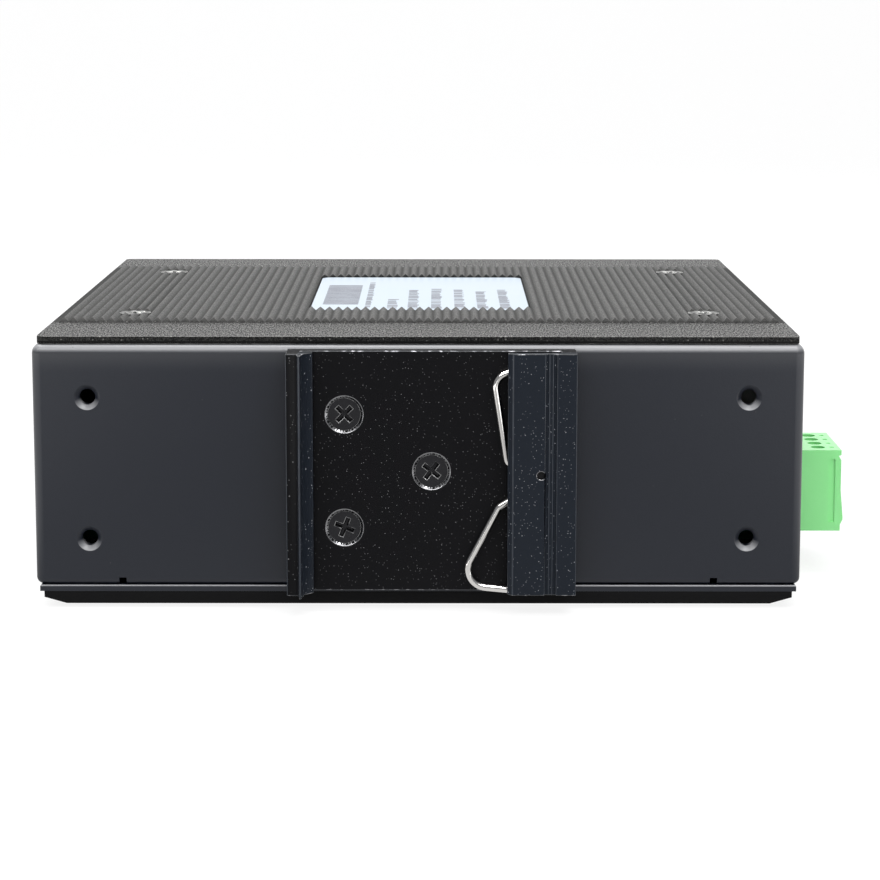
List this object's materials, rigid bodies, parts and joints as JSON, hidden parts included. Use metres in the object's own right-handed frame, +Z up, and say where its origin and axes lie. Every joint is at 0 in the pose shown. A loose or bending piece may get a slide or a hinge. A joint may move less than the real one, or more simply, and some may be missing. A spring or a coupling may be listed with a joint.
{
  "type": "din rail ethernet switch",
  "caption": "Fanless network switch in a black sheet case with ribbed aluminium sides, a sprung rail clip on its back and a plug-in power terminal.",
  "frame": {"origin": "middle of the case's footprint, on the crest of the middle rib of the lower side", "axes": "+X towards the end with the power terminal, +Y from the rail clip towards the ports, +Z up through the case's thickness"},
  "size_m": [0.138, 0.1285, 0.0464],
  "materials": {
    "black_aluminium": "sand-textured black anodised",
    "label_film": "satin printed film",
    "zinc_screws": "bright zinc plated",
    "black_paint": "satin black powder coat",
    "clip_aluminium": "black anodised, dusty",
    "black_screws": "black oxide",
    "spring_steel": "bright drawn wire",
    "green_plastic": "moulded",
    "plated_brass": "tin plated",
    "circuit_board": "green solder mask",
    "tinned_steel": "tinned sheet",
    "black_plastic": "moulded",
    "gold_contacts": "gold plated",
    "clear_plastic": "clear moulding",
    "lamp_plastic": "lamp lens",
    "thermal_rubber": "soft pad",
    "capacitor_can": "sleeved can",
    "ferrite": "sintered"
  },
  "bodies": {
    "chassis": {"ribbed_side_cover": "black_aluminium", "rating_label": "label_film", "side_cover_screws": "zinc_screws", "side_cover_nuts": "zinc_screws", "housing": "black_paint", "lower_cover": "black_paint", "lower_cover_screws": "zinc_screws", "lower_side_cover": "black_aluminium", "lower_side_screws": "zinc_screws", "lower_side_nuts": "zinc_screws", "din_plate": "clip_aluminium", "din_plate_screws": "black_screws", "din_plate_nuts": "zinc_screws", "spring_pin": "black_screws", "terminal_header": "green_plastic", "header_pins": "plated_brass", "main_board": "circuit_board", "board_standoffs": "zinc_screws", "board_screws": "zinc_screws", "port_shield": "tinned_steel", "port_insert": "black_plastic", "port_contacts": "gold_contacts", "light_guide": "clear_plastic", "status_leds": "lamp_plastic", "switch_chip": "black_plastic", "thermal_pad": "thermal_rubber", "chip_heat_sink": "black_aluminium", "lan_transformers": "black_plastic", "power_capacitors": "capacitor_can", "power_inductor": "ferrite", "clock_crystal": "tinned_steel"},
    "plug": {"terminal_plug": "green_plastic", "plug_clamps": "plated_brass", "plug_clamp_screws": "zinc_screws", "plug_contacts": "plated_brass"},
    "rail_spring": {"spring_wire": "spring_steel"}
  },
  "joints": [
    {"name": "plug_pull", "type": "slide", "parent": "chassis", "child": "plug", "axis": [1, 0, 0], "range_m": [0, 0.012]},
    {"name": "spring_swivel", "type": "hinge", "parent": "chassis", "child": "rail_spring", "pos_m": [0.02005, -0.06325, 0.02375], "axis": [0, 1, 0], "range_deg": [-11, 3]}
  ]
}
